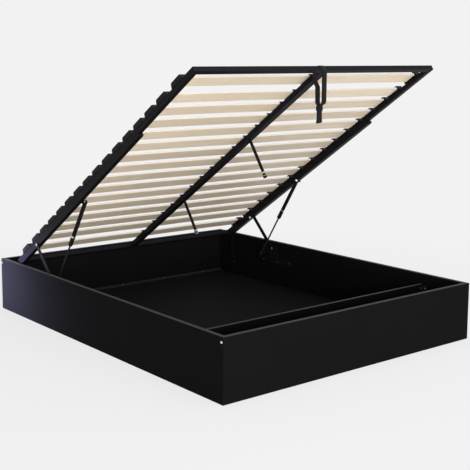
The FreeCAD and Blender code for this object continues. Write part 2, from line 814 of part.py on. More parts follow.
def cap_edges(edge):
    """The two long upper edges of a cap."""
    ends = edge.Vertexes
    level = all(abs(corner.Z - cap_height.number) < 0.01 for corner in ends)
    return level and abs(ends[0].Y - ends[-1].Y) < 0.01


def cap(name, side, along):
    """Slat holder: an outer one closed at its far end, or a double one over the centre rail."""
    body = new_body(name)
    length = cap_length if side else centre_cap_width
    start = {LEFT: -(cap_inner + cap_length), RIGHT: cap_inner, 0: -centre_cap_width / 2}[side]
    drawing = sketch(body, "YZ_Plane", start)
    foot, head = (cap_base / 2, cap_top / 2) if side else (centre_cap_base / 2, centre_cap_base / 2)
    outline(drawing, [(-foot, NIL), (foot, NIL), (head, cap_height), (-head, cap_height)])
    block_pad = pad(body, drawing, length)
    base = soften(body, block_pad, cap_edges, cap_round)
    body.Tip = base
    mouth = {LEFT: -cap_inner, RIGHT: cap_inner, 0: centre_cap_width / 2}[side]
    opening = sketch(body, "YZ_Plane", mouth)
    rectangle(opening, (-slot_width / 2, cap_wall), (slot_width / 2, cap_wall + slot_height))
    pocket(body, opening, length - cap_wall if side else length, reverse=side == RIGHT)
    body.setExpression("Placement.Base.y", along.text)
    return body


caps = {LEFT: [], RIGHT: [], 0: []}
rows = int(slat_count.number)
for row in range(rows):
    if row == 0:
        along = slat_first
    elif row == rows - 1:
        along = frame_length - slat_first
    else:
        along = slat_first + slat_end_pitch + (row - 1) * slat_pitch
    name = "slat_row_%02d" % (row + 1)
    group(name, [slat(name + "_" + word, side, along) for side, word in SIDES], FRAME_PLACE)
    for side in caps:
        caps[side].append(cap("cap_%d_%02d" % (side + 2, row), side, along))
group("left_slat_caps", caps[LEFT], FRAME_PLACE)
group("right_slat_caps", caps[RIGHT], FRAME_PLACE)
group("centre_slat_caps", caps[0], FRAME_PLACE)

# Support legs under the centre rail, each a tube, a collar, a washer and a foot
pieces = {"centre_legs": [], "leg_collars": [], "leg_feet": []}
tube_length = leg_length - leg_foot_height
bore = leg_radius - leg_wall
ring_bore = leg_radius + bore_gap
pad_top = leg_length - leg_foot_pad
tip = leg_foot_radius - leg_foot_chamfer
for number, along in enumerate((leg_front, leg_rear)):
    profiles = [
        ("centre_legs", [(NIL, bore), (NIL, leg_radius), (tube_length, leg_radius), (tube_length, bore)]),
        ("leg_collars", [(tube_length - collar_height, ring_bore), (tube_length - collar_height, collar_radius),
                         (tube_length, collar_radius), (tube_length, ring_bore)]),
        ("leg_collars", [(pad_top - washer_height, ring_bore), (pad_top - washer_height, collar_radius),
                         (pad_top, collar_radius), (pad_top, ring_bore)]),
        ("leg_feet", [(tube_length, NIL), (tube_length, leg_radius), (pad_top, leg_radius), (pad_top, leg_foot_radius),
                      (leg_length - leg_foot_chamfer, leg_foot_radius), (leg_length, tip), (leg_length, NIL)]),
    ]
    for key, profile in profiles:
        piece = turned("%s_%d_%d" % (key, number, len(pieces[key])), profile)
        down = FreeCAD.Rotation(V(1, 0, 0), V(0, 0, -1))
        piece.Placement = FreeCAD.Placement(V(0, along.number, -tube_size.number), down)
        pieces[key].append(piece)
for key in pieces:
    group(key, pieces[key], FRAME_PLACE)

# Pull strap: a webbing loop round the foot tube, sewn together below, with a slider over it
strap = new_body("pull_strap")
drawing = sketch(strap, "YZ_Plane")
outer = loop_radius + strap_thickness
gather = strap_gather - strap_loop
loops = ((outer, [(-outer, gather), (-strap_thickness, -strap_loop), (-strap_thickness, -strap_length),
                  (strap_thickness, -strap_length), (strap_thickness, -strap_loop), (outer, gather)]),
         (loop_radius, [(-loop_radius, gather), (NIL, 3 * buckle_border - strap_loop), (loop_radius, gather)]))
for radius, below in loops:
    places = [(-radius, NIL)] + below + [(radius, NIL)]
    curve = Part.Circle(V(0, 0, 0), Z_AXIS, radius.number)
    arc = drawing.addGeometry(Part.ArcOfCircle(curve, 0, math.pi), False)
    drawing.addConstraint(Sketcher.Constraint("Coincident", arc, 3, -1, 1))
    first = arc + 1
    for index in range(len(places) - 1):
        ends = (spot(places[index]), spot(places[index + 1]))
        drawing.addGeometry(Part.LineSegment(*ends), False)
        drawing.addConstraint(Sketcher.Constraint("Coincident", arc + index, 2, first + index, 1))
        hold(drawing, first + index, 1, places[index])
    last = first + len(places) - 2
    drawing.addConstraint(Sketcher.Constraint("Coincident", last, 2, arc, 1))
    bind(drawing, "DistanceY", (-1, 1, arc, 1), NIL)
pad(strap, drawing, strap_width + strap_skew, symmetric=True)
# The leg behind the tube hangs beside the centre rail, the one in front of it further right
edge = (strap_width + strap_skew) / 2
deep = 2 * outer
tall = 2 * strap_length
trims = [((-edge - fit_gap, -deep, -strap_loop), (strap_skew + fit_gap, deep, strap_loop)),
         ((edge - strap_skew, NIL, -strap_loop), (strap_skew + fit_gap, deep, strap_loop + loop_radius * 0.8)),
         ((-edge - fit_gap, -deep, -tall), (strap_skew / 2 + fit_gap, 2 * deep, tall - strap_loop)),
         ((edge - strap_skew / 2, -deep, -tall), (strap_skew / 2 + fit_gap, 2 * deep, tall - strap_loop))]
trims = [block("strap_trim_%d" % index, *trim) for index, trim in enumerate(trims)]
webbing = cut("strap_webbing", strap, trims)
webbing.Placement = FreeCAD.Placement(V(strap_offset.number, *strap_joint), FreeCAD.Rotation())
node("pull_strap", webbing)
hole_half = strap_width / 2 + fit_gap
hole_deep = strap_thickness + fit_gap
buckle_low = -strap_loop - buckle_height - fit_gap
low = (-hole_half - buckle_border, -hole_deep - buckle_border, buckle_low)
spread = (2 * (hole_half + buckle_border), 2 * (hole_deep + buckle_border), buckle_height)
shell = block("buckle_shell", low, spread)
low = (-hole_half, -hole_deep, buckle_low - fit_gap)
hole = block("buckle_hole", low, (2 * hole_half, 2 * hole_deep, buckle_height + 2 * fit_gap))
buckle = cut("strap_buckle", shell, [hole])
buckle.Placement = FreeCAD.Placement(V(strap_offset.number, *strap_joint), FreeCAD.Rotation())
node("strap_buckle", buckle)


def link(name, side, length, far_bore):
    """Flat bar with a bore at each pivot, or with a rivet head in place of the far bore."""
    body = new_body(name)
    drawing = sketch(body, "XY_Plane")
    slot(drawing, NIL, length, NIL, link_half_width)
    ring(drawing, (NIL, NIL), pin_radius + running_gap)
    if far_bore:
        ring(drawing, (length, NIL), pin_radius + running_gap)
    pad(body, drawing, link_thickness)
    if not far_bore:
        rivet = sketch(body, "XY_Plane", NIL if side == RIGHT else link_thickness)
        ring(rivet, (length, NIL), pin_head_radius)
        pad(body, rivet, link_thickness + pin_head, reverse=side == LEFT)
    return body


def strut_cylinder(name):
    """Gas strut body: a hollow tube with a gland, and an eye at its upper end."""
    body = new_body(name)
    drawing = sketch(body, "XY_Plane")
    hollow = strut_radius - strut_wall
    throat = rod_radius + running_gap
    gland = strut_body - gland_length
    neck = eye_radius * 0.9
    shape = [(neck, NIL), (neck, strut_radius), (strut_body, strut_radius), (strut_body, throat)]
    shape += [(gland, throat), (gland, hollow), (strut_top, hollow), (strut_top, NIL)]
    outline(drawing, shape)
    feature = body.newObject("PartDesign::Revolution", name + "_turn")
    feature.Profile = drawing
    feature.ReferenceAxis = (drawing, ["H_Axis"])
    feature.Angle = 360
    eye = sketch(body, "XY_Plane")
    ring(eye, (NIL, NIL), eye_radius)
    pad(body, eye, eye_width, symmetric=True)
    bore = sketch(body, "XY_Plane")
    ring(bore, (NIL, NIL), pin_radius + running_gap)
    pocket(body, bore)
    return body


def strut_rod(name):
    """Rod with its piston inside the strut body and an eye at its lower end."""
    body = new_body(name)
    drawing = sketch(body, "XY_Plane")
    head = strut_radius - strut_wall - piston_gap
    piston_end = strut_body - gland_length - piston_gap
    start = piston_end - piston_length
    neck = strut_length - eye_radius * 0.9
    ferrule = neck - eye_radius
    shape = [(start, NIL), (start, head), (piston_end, head), (piston_end, rod_radius)]
    shape += [(ferrule, rod_radius), (ferrule, eye_radius * 0.75), (neck, eye_radius * 0.75), (neck, NIL)]
    outline(drawing, shape)
    feature = body.newObject("PartDesign::Revolution", name + "_turn")
    feature.Profile = drawing
    feature.ReferenceAxis = (drawing, ["H_Axis"])
    feature.Angle = 360
    eye = sketch(body, "XY_Plane")
    ring(eye, (strut_length, NIL), eye_radius)
    pad(body, eye, eye_width, symmetric=True)
    return body


strut_angle = bearing(strut_joint, strut_base)
for side, word in SIDES:
    start = link_inner if side == RIGHT else -link_outer
    front = link(word + "_front_link", side, front_link_length, True)
    node(word + "_front_link", swung(front, start, front_base, bearing(front_base, front_joint)))
    rear = link(word + "_rear_link", side, rear_link_length, False)
    node(word + "_rear_link", swung(rear, start, rear_base, bearing(rear_base, rear_joint)))
    shell = strut_cylinder(word + "_strut_cylinder")
    node(word + "_strut_cylinder", swung(shell, side * strut_axis, strut_joint, strut_angle))
    plunger = strut_rod(word + "_strut_rod")
    node(word + "_strut_rod", swung(plunger, side * strut_axis, strut_joint, strut_angle))

doc.recompute()
for item in doc.Objects:
    bad = [word for word in item.State if word in ("Invalid", "Error")]
    if bad:
        raise RuntimeError("%s did not build: %s" % (item.Name, bad))
for name, item in SUBPARTS:
    if item.Shape.isNull() or not item.Shape.isValid():
        raise RuntimeError("%s has no valid shape" % name)
os.makedirs("parts", exist_ok=True)
for name, item in SUBPARTS:
    item.Shape.exportStep("parts/%s.step" % name)
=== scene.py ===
# %% [markdown]
# # A storage bed with a lifted slatted frame
# The CAD model holds every board, tube, link and slat at its real size. This lesson dresses it:
# it sets up the camera and a soft studio, gives each surface a procedural finish, and models the
# small things that show how the bed is made, such as webbing, weld beads and moulded details.

# %% Load the bed
import json
import math
import bpy
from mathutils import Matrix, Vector


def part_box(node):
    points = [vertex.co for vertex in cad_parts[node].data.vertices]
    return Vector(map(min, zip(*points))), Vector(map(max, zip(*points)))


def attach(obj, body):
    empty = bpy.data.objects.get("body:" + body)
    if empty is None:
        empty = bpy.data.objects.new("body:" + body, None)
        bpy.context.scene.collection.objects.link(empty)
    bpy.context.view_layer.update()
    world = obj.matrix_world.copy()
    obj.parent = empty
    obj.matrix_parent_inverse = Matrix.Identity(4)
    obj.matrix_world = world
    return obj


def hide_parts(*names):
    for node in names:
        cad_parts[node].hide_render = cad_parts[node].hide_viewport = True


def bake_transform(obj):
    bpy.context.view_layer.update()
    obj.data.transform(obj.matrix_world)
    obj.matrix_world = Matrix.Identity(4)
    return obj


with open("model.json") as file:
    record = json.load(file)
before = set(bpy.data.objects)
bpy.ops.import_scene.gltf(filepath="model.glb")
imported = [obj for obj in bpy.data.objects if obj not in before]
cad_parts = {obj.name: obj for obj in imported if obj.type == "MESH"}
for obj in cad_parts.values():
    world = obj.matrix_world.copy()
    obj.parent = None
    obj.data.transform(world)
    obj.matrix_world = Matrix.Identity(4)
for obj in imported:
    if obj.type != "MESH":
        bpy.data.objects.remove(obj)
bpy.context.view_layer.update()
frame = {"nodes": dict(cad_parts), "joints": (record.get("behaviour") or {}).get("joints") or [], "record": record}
nodes = frame["nodes"]
joints = {joint["name"]: joint for joint in frame["joints"]}

# %% [markdown]
# The photo was taken from the foot end, to the left of the bed and a little above the box. A
# camera can be placed by eye, but then the edges never quite meet. Here its place, its long lens
# and its shift were worked out from the corners of the box and of the lifted frame, so a render
# can be laid over the photo line by line.

# %% Camera
CAMERA_PLACE = (-3.302, -4.069, 1.443)
CAMERA_TURN = -37.34
CAMERA_LOOK_DOWN = 7.96
CAMERA_LENS = 74.0
CAMERA_SENSOR = 36
CAMERA_SHIFT = (0.0891, -0.083)

scene = bpy.context.scene
bpy.ops.object.select_all(action="DESELECT")
tilt = math.radians(90 - CAMERA_LOOK_DOWN)
bpy.ops.object.camera_add(location=CAMERA_PLACE, rotation=(tilt, 0, math.radians(CAMERA_TURN)))
camera = bpy.context.object
camera.data.lens = CAMERA_LENS
camera.data.sensor_width = CAMERA_SENSOR
camera.data.shift_x, camera.data.shift_y = CAMERA_SHIFT
scene.camera = camera
scene.view_settings.view_transform = "Standard"
print("camera:", tuple(camera.location))

# %% [markdown]
# The studio and the finishes are made of shader nodes. They could be wired one by one, as in the
# shader editor, but a script gets long that way. These helpers add a node, set its values and
# link its inputs, and most give back the socket that the next node needs. A finish then reads
# like a recipe: a noise, two colours mixed by it, a bump.

# %% Node helpers
def set_socket(tree, socket, value):
    """Link the socket to another one, or give it a plain value."""
    if isinstance(value, bpy.types.NodeSocket):
        tree.links.new(value, socket)
    else:
        socket.default_value = value


def add_node(tree, kind, settings=None, values=(), **inputs):
    """New node: settings are its options, values its first inputs, inputs those with a name."""
    node = tree.nodes.new(kind)
    for key, value in (settings or {}).items():
        setattr(node, key, value)
    for number, value in enumerate(values):
        set_socket(tree, node.inputs[number], value)
    for key, value in inputs.items():
        set_socket(tree, node.inputs[key], value)
    return node


def calculate(tree, operation, *values):
    return add_node(tree, "ShaderNodeMath", {"operation": operation}, values).outputs[0]


def vector(tree, operation, *values, **inputs):
    """Vector sum: a dot product and a length give a number, the others give a vector."""
    node = add_node(tree, "ShaderNodeVectorMath", {"operation": operation}, values, **inputs)
    return node.outputs["Value" if operation in ("DOT_PRODUCT", "LENGTH") else "Vector"]


def split(tree, value):
    return add_node(tree, "ShaderNodeSeparateXYZ", values=[value]).outputs


def mix(tree, share, first, second, blend="MIX"):
    node = add_node(tree, "ShaderNodeMixRGB", {"blend_type": blend}, (share, first, second))
    return node.outputs[0]


def map_range(tree, value, start=(0.0, 1.0), to=(0.0, 1.0), curve="LINEAR"):
    """Carry a value from the range that it starts in to another."""
    node = add_node(tree, "ShaderNodeMapRange", {"interpolation_type": curve}, Value=value)
    for name, number in zip(("From Min", "From Max", "To Min", "To Max"), (*start, *to)):
        node.inputs[name].default_value = number
    return node.outputs[0]


print("node helpers are ready")

# %% [markdown]
# The bed stands in a white studio without corners. A curved backdrop could be modelled, but a
# pale world over a pale floor looks the same and has no edge to hide. The camera sees both as
# paper white, while the light that the world throws on the bed is weaker, because black boards
# turn grey under too much of it. It is weakest from the left, where the photo has its darkest
# board.

# %% World
PAPER = (0.887, 0.887, 0.887, 1)
WORLD_LIGHT = (0.54, 0.55, 0.58)
LEFT_LEVEL = 0.4


def seen_rays(tree):
    """One for rays from the camera, from mirrors and through glass, nought for other light."""
    path = add_node(tree, "ShaderNodeLightPath").outputs
    mirrored = calculate(tree, "MAXIMUM", path["Is Camera Ray"], path["Is Glossy Ray"])
    return calculate(tree, "MAXIMUM", mirrored, path["Is Transmission Ray"])


world = bpy.data.worlds.new("studio")
world.use_nodes = True
scene.world = world
tree = world.node_tree
toward = split(tree, add_node(tree, "ShaderNodeTexCoord").outputs["Generated"])
level = map_range(tree, toward["X"], start=(-1.0, 1.0), to=(LEFT_LEVEL, 2.0 - LEFT_LEVEL))
light = vector(tree, "SCALE", WORLD_LIGHT, Scale=level)
pale = mix(tree, seen_rays(tree), light, PAPER)
tree.links.new(pale, tree.nodes["Background"].inputs["Color"])
print("world:", world.name)

# %% [markdown]
# The floor is one large plane. Paper white alone would hide the soft shadow that the bed stands
# in, and a lit floor alone would not be as even as the photo's. So the two are mixed: close to
# the bed a share of the lit floor shows, and further out it fades into the paper.

# %% Floor
FLOOR_SIZE = 60
FLOOR_DROP = 0.0005
FLOOR_TONE = (0.8, 0.8, 0.8, 1)
SHADOW_SHARE = 0.16
SHADOW_RANGE = (1.2, 3.6)


def new_finish(name):
    """A material with its node tree, its shader and its coordinates at hand."""
    finish = bpy.data.materials.new(name)
    finish.use_nodes = True
    tree = finish.node_tree
    coords = tree.nodes.new("ShaderNodeTexCoord")
    return finish, tree, tree.nodes["Principled BSDF"], coords.outputs


def set_shader(tree, shader, **inputs):
    for key, value in inputs.items():
        set_socket(tree, shader.inputs[key.replace("_", " ")], value)


bpy.ops.mesh.primitive_plane_add(size=FLOOR_SIZE, location=(0, 0, -FLOOR_DROP))
floor = bpy.context.object
floor.name = "studio_floor"
finish, tree, shader, coords = new_finish("studio_paper")
set_shader(tree, shader, Base_Color=FLOOR_TONE, Roughness=0.9, Specular_IOR_Level=0.0)
paper = add_node(tree, "ShaderNodeEmission", Color=PAPER, Strength=1.0)
reach = vector(tree, "LENGTH", coords["Object"])
share = map_range(tree, reach, SHADOW_RANGE, (1 - SHADOW_SHARE, 1.0), curve="SMOOTHSTEP")
seen = calculate(tree, "MULTIPLY", seen_rays(tree), share)
blend = add_node(tree, "ShaderNodeMixShader", values=(seen, shader.outputs[0], paper.outputs[0]))
tree.links.new(blend.outputs[0], tree.nodes["Material Output"].inputs["Surface"])
floor.data.materials.append(finish)
print("stage:", floor.name)

# %% [markdown]
# Black furniture shows its lamps as reflections, and a small lamp would leave a hot spot. So two
# large softboxes light the bed: a low one in front, which also reaches the underside of the
# slats, and a weak one above. The photo has a bluish sheen at the far end of the left board. A
# small lamp beside that end gives it, and light linking keeps it to the pieces on that side.

# %% Lamps
SHEEN_COLOUR = (0.63, 0.615, 1.0)
SHEEN_SPREAD = 46
SHEEN_NODES = ("left_side_panel", "left_side_rail", "left_lift_arm", "left_slat_caps", "left_front_link")


def softbox(name, place, target, size, watts):
    """Area lamp that faces a target."""
    bpy.ops.object.light_add(type="AREA", location=place)
    lamp = bpy.context.object
    lamp.name = name
    lamp.data.shape = "RECTANGLE"
    lamp.data.size, lamp.data.size_y = size
    lamp.data.energy = watts
    lamp.rotation_euler = (Vector(target) - Vector(place)).to_track_quat("-Z", "Y").to_euler()
    return lamp


softbox("front_low", place=(-2.6, -6.2, 1.2), target=(0, 0, 0.8), size=(3.6, 2.2), watts=412)
softbox("top", place=(0.5, -0.5, 4.2), target=(0, 0, 0), size=(4.0, 4.0), watts=60)
far_left = softbox(
    "far_left", place=(-1.5, 1.65, 0.3), target=(-0.825, 1.02, 0.18), size=(0.4, 0.4), watts=18.5)
far_left.data.color = SHEEN_COLOUR
far_left.data.spread = math.radians(SHEEN_SPREAD)
far_left.visible_glossy = False
lit_by_far_left = bpy.data.collections.new("lit_by_far_left")
for name in SHEEN_NODES:
    lit_by_far_left.objects.link(nodes[name])
far_left.light_linking.receiver_collection = lit_by_far_left

# %% [markdown]
# The boards of the box are covered with black laminate, a hard film with a fine pearl texture. A
# plain black would look like a hole, and a picture of a film would repeat on boards this long.
# Two noises do better. A fine one lifts the surface by a few hundredths of a millimetre and
# breaks up reflections, and a broad one changes the depth of black a little from place to place.
# Upward faces are painted paler: a painted highlight for the light that falls on the tops of the boards.

# %% Black laminate
# Painted highlight: the paler colour that upward faces of the boards get for the light from above.
TOP_PAINTED_HIGHLIGHT = (0.055, 0.054, 0.054, 1)


def noise(tree, place, **inputs):
    return add_node(tree, "ShaderNodeTexNoise", Vector=place, **inputs).outputs["Fac"]


def bump(tree, height, strength, distance):
    node = add_node(tree, "ShaderNodeBump", Height=height, Strength=strength, Distance=distance)
    return node.outputs[0]


def laminate(name, dark, light, roughness, pearl, edge=None):
    finish, tree, shader, coords = new_finish(name)
    broad = noise(tree, coords["Object"], Scale=2.5, Detail=4.0)
    tone = mix(tree, broad, dark, light)
    # Faces that point up get the paler colour, a painted highlight and not a strip of another material.
    if edge:
        lit_from_above_mask = map_range(tree, split(tree, coords["Normal"])["Z"], start=(0.5, 0.8))
        tone = mix(tree, lit_from_above_mask, tone, edge)
    fine = noise(tree, coords["Object"], Scale=pearl, Detail=3.0)
    skin = bump(tree, fine, strength=0.12, distance=0.0004)
    dull = map_range(tree, broad, to=(roughness - 0.04, roughness + 0.05))
    set_shader(tree, shader, Base_Color=tone, Roughness=dull, Normal=skin, Specular_IOR_Level=0.008)
    return finish


board_finish = laminate(
    "black_laminate", (0.005, 0.005, 0.0054, 1), (0.0066, 0.0066, 0.007, 1),
    roughness=0.42, pearl=900.0, edge=TOP_PAINTED_HIGHLIGHT)
floor_finish = laminate(
    "floor_hardboard", (0.0075, 0.0075, 0.0082, 1), (0.0105, 0.0102, 0.0108, 1),
    roughness=0.5, pearl=500.0)
# The strip's paler tone is partly its own paint and partly a painted soft highlight along the head board.
strip_paint_and_sheen_finish = laminate(
    "floor_strip_paint_and_sheen", (0.018, 0.018, 0.019, 1), (0.025, 0.025, 0.026, 1),
    roughness=0.45, pearl=500.0)
print("laminates:", board_finish.name, floor_finish.name, strip_paint_and_sheen_finish.name)

# %% [markdown]
# Tubes, arms and plates are powder-coated: a paint that is melted on and sets with a slight
# orange peel. The strut rods are ground and nitrided, black and smoother. What is bright is
# zinc-plated, with a mottled lustre. Paint is a coloured skin and zinc a bare metal, so each has
# a function of its own. Screws and brackets inside the box are duller, and of the pins on the
# base plates only the upper ones are bright.

# %% Metals
# The black that a bright metal gets below a given height.
BLACK_BELOW_HEIGHT = (0.03, 0.03, 0.03, 1)
BRIGHT_ABOVE = 0.232


def tinted(colour, share):
    """The colour made lighter or darker."""
    return tuple(share * part for part in colour[:3]) + (1,)


def powder_coat(name, colour, roughness):
    finish, tree, shader, coords = new_finish(name)
    waves = noise(tree, coords["Object"], Scale=420.0, Detail=2.0)
    peel = bump(tree, waves, strength=0.18, distance=0.0004)
    clouds = noise(tree, coords["Object"], Scale=9.0, Detail=3.0)
    tone = mix(tree, clouds, colour, tinted(colour, 1.5))
    set_shader(tree, shader, Base_Color=tone, Normal=peel)
    set_shader(tree, shader, Roughness=roughness, Specular_IOR_Level=0.04)
    return finish


def bright_metal(name, colour, roughness, bright_above=None):
    """Plated steel; what lies below a given height is black."""
    finish, tree, shader, coords = new_finish(name)
    mottle = noise(tree, coords["Object"], Scale=250.0, Detail=4.0)
    dull = map_range(tree, mottle, to=(roughness - 0.1, roughness + 0.1))
    tone = mix(tree, mottle, tinted(colour, 0.8), colour)
    if bright_above:
        low = calculate(tree, "LESS_THAN", split(tree, coords["Object"])["Z"], bright_above)
        tone = mix(tree, low, tone, BLACK_BELOW_HEIGHT)
    set_shader(tree, shader, Base_Color=tone, Roughness=dull, Metallic=1.0)
    return finish


steel_finish = powder_coat("black_powder_coat", (0.006, 0.0055, 0.0066, 1), roughness=0.4)
rod_finish = powder_coat("nitrided_rod", (0.012, 0.012, 0.013, 1), roughness=0.22)
zinc_finish = bright_metal("bright_zinc", (0.78, 0.78, 0.75, 1), roughness=0.3)
dark_screw_finish = bright_metal("dark_screws", (0.14, 0.14, 0.14, 1), roughness=0.4)
bracket_finish = bright_metal("dull_bracket", (0.07, 0.07, 0.07, 1), roughness=0.5)
pin_finish = bright_metal("link_pins", (0.7, 0.7, 0.68, 1), roughness=0.3, bright_above=BRIGHT_ABOVE)
print("metals:", steel_finish.name, rod_finish.name, zinc_finish.name)

# %% [markdown]
# The slatted frame is lifted at its foot end, and the grain of the slats and several pieces
# follow its tilt. Tilt and places could be typed in as numbers, but they would go wrong as soon
# as the CAD model changes. So they are measured here, from the boxes of the frame's tubes.

# %% The lifted frame
def box_middle(node):
    low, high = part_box(node)
    return (Vector(low) + Vector(high)) / 2


frame_way = box_middle("head_tube") - box_middle("foot_tube")
ALONG_FRAME = frame_way.normalized()
UP_FRAME = Vector((0, -ALONG_FRAME.z, ALONG_FRAME.y))
FRAME_TILT = math.atan2(-ALONG_FRAME.z, ALONG_FRAME.y)
rail_low, rail_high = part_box("left_side_rail")
TUBE = rail_high[0] - rail_low[0]
FRAME_HALF = -rail_low[0]
FRAME_LENGTH = frame_way.length + TUBE
FRAME_FOOT = box_middle("foot_tube") + TUBE / 2 * (UP_FRAME - ALONG_FRAME)


def frame_point(across, along, up):
    """Place on the tilted frame: across the bed, along from its foot end, up from its tubes."""
    return FRAME_FOOT + along * ALONG_FRAME + up * UP_FRAME + Vector((across, 0, 0))


print("frame tilt:", round(math.degrees(FRAME_TILT), 2), "length:", round(FRAME_LENGTH, 4))

# %% [markdown]
# Slats are strips of birch plywood, pressed into a slight bow. Their faces show a lively grain,
# and their sawn edges show the plies as thin lines. A wave texture would draw stripes that are
# too even, so the grain is a noise that is stretched along the slat. The two slats of a row are
# one mesh, so one material does it all: the normal tells a face from an edge, and a number made
# from the row and the side keeps two slats from being alike.

# %% Slat wood
ROW_STEP = 0.1123
PLY_PAIR = 0.0026
GRAIN_DARK, GRAIN_LIGHT = (0.72, 0.573, 0.41, 1), (0.85, 0.737, 0.565, 1)
EDGE_DARK, EDGE_LIGHT = (0.54, 0.482, 0.405, 1), (0.615, 0.556, 0.476, 1)
GRAIN_STRETCH, PORE_STRETCH = (1.6, 42.0, 42.0), (6.0, 420.0, 420.0)
PORE_DEPTH = 0.22
GRAIN_SHIFT = 9.0
SLAT_SHADES = (0.9, 1.08)


def combine(tree, *values):
    return add_node(tree, "ShaderNodeCombineXYZ", values=values).outputs[0]


def stretch(tree, place, scale):
    return add_node(tree, "ShaderNodeMapping", values=[place], Scale=scale).outputs[0]


def slat_wood():
    finish, tree, shader, coords = new_finish("birch_slats")
    from_foot = vector(tree, "SUBTRACT", coords["Object"], FRAME_FOOT)
    along = vector(tree, "DOT_PRODUCT", from_foot, ALONG_FRAME)
    height = vector(tree, "DOT_PRODUCT", from_foot, UP_FRAME)
    across = split(tree, coords["Object"])["X"]

    # Each slat lies within one step along the frame, and the first also reaches back a little
    counted = calculate(tree, "FLOOR", calculate(tree, "DIVIDE", along, ROW_STEP))
    row = calculate(tree, "MAXIMUM", counted, 1.0)
    key = combine(tree, row, calculate(tree, "SIGN", across))
    chance = add_node(tree, "ShaderNodeTexWhiteNoise", {"noise_dimensions": "3D"}, Vector=key).outputs
    shift = vector(tree, "SCALE", chance["Color"], Scale=GRAIN_SHIFT)
    moved = vector(tree, "ADD", combine(tree, across, along, height), shift)

    # Faces: grain, darker pores, and a shade for each slat
    grain = noise(tree, stretch(tree, moved, GRAIN_STRETCH), Scale=1.0, Detail=5.0, Distortion=0.5)
    pores = noise(tree, stretch(tree, moved, PORE_STRETCH), Scale=1.0, Detail=3.0)
    wood = mix(tree, grain, GRAIN_DARK, GRAIN_LIGHT)
    porous = mix(tree, PORE_DEPTH, wood, pores, blend="MULTIPLY")
    face = vector(tree, "SCALE", porous, Scale=map_range(tree, chance["Value"], to=SLAT_SHADES))

    # Edges: one dark and one pale line for every pair of plies
    wave = calculate(tree, "SINE", calculate(tree, "MULTIPLY", height, 2 * math.pi / PLY_PAIR))
    edge = mix(tree, map_range(tree, wave, start=(-1.0, 1.0)), EDGE_DARK, EDGE_LIGHT)
    side_on = calculate(tree, "ABSOLUTE", vector(tree, "DOT_PRODUCT", coords["Normal"], ALONG_FRAME))
    colour = mix(tree, calculate(tree, "GREATER_THAN", side_on, 0.7), face, edge)
    skin = bump(tree, pores, strength=0.15, distance=0.0004)
    set_shader(tree, shader, Base_Color=colour, Normal=skin, Roughness=0.5, Specular_IOR_Level=0.4)
    return finish


slat_finish = slat_wood()
print("wood:", slat_finish.name)

# %% [markdown]
# The slat holders, the slider of the strap and the feet of the legs are moulded. A spark-eroded
# mould leaves a fine, even grain on plastic; rubber is duller and has no clear highlight. The
# grain is far too fine to be modelled, so a noise with a bump does it for both.

# %% Plastic and rubber
def moulded(name, colour, roughness, grain, depth):
    finish, tree, shader, coords = new_finish(name)
    spark = noise(tree, coords["Object"], Scale=grain, Detail=2.0)
    tone = mix(tree, spark, colour, tinted(colour, 1.4))
    skin = bump(tree, spark, strength=0.25, distance=depth)
    set_shader(tree, shader, Base_Color=tone, Normal=skin)
    set_shader(tree, shader, Roughness=roughness, Specular_IOR_Level=0.08)
    return finish


plastic_finish = moulded(
    "moulded_plastic", (0.0055, 0.0055, 0.006, 1), roughness=0.5, grain=1400.0, depth=0.0003)
rubber_finish = moulded(
    "moulded_rubber", (0.01, 0.01, 0.01, 1), roughness=0.75, grain=900.0, depth=0.0005)
print("moulded:", plastic_finish.name, rubber_finish.name)

# %% [markdown]
# The battens under the floor are raw softwood. Hardly anything is seen of them, so a streaky
# noise between two tones is enough, stretched along the bed.

# %% Raw softwood
BATTEN_DARK, BATTEN_LIGHT = (0.45, 0.31, 0.18, 1), (0.68, 0.52, 0.34, 1)
STREAK_STRETCH = (60.0, 2.0, 60.0)


def softwood():
    finish, tree, shader, coords = new_finish("raw_softwood")
    streaks = noise(tree, stretch(tree, coords["Object"], STREAK_STRETCH), Scale=1.0, Detail=5.0)
    tone = mix(tree, streaks, BATTEN_DARK, BATTEN_LIGHT)
    set_shader(tree, shader, Base_Color=tone, Roughness=0.7)
    return finish


batten_finish = softwood()
print("softwood:", batten_finish.name)

# %% [markdown]
# The strap is woven, with ribs across the band and picks along it. Single threads could be
# modelled, but they are finer than anything else on the bed. Two wave textures that cross each
# other make the weave instead, both in colour and in bump. The thread of the seam is woven in
# the same way, a little paler.

# %% Webbing
RIBS, PICKS = ("Z", 210.0), ("X", 150.0)


def woven(name, dark, light):
    finish, tree, shader, coords = new_finish(name)
    threads = []
    for direction, scale in (RIBS, PICKS):
        wave = add_node(tree, "ShaderNodeTexWave", {"bands_direction": direction},
                        Vector=coords["Object"], Scale=scale, Distortion=0.4, Detail=1.0)
        threads.append(wave.outputs["Fac"])
    weave = calculate(tree, "MULTIPLY", *threads)
    skin = bump(tree, weave, strength=0.6, distance=0.0005)
    set_shader(tree, shader, Base_Color=mix(tree, weave, dark, light), Normal=skin)
    set_shader(tree, shader, Roughness=0.75, Specular_IOR_Level=0.1, Sheen_Weight=0.05)
    return finish


webbing_finish = woven("black_webbing", (0.004, 0.004, 0.0045, 1), (0.012, 0.012, 0.013, 1))
thread_finish = woven("stitching_thread", (0.012, 0.012, 0.013, 1), (0.025, 0.025, 0.026, 1))
print("woven:", webbing_finish.name, thread_finish.name)

# %% [markdown]
# Every CAD node now gets its finish. A list of all the nodes would be long, so the material slot
# that the record gives a node decides, and only nodes that differ from their slot are named.

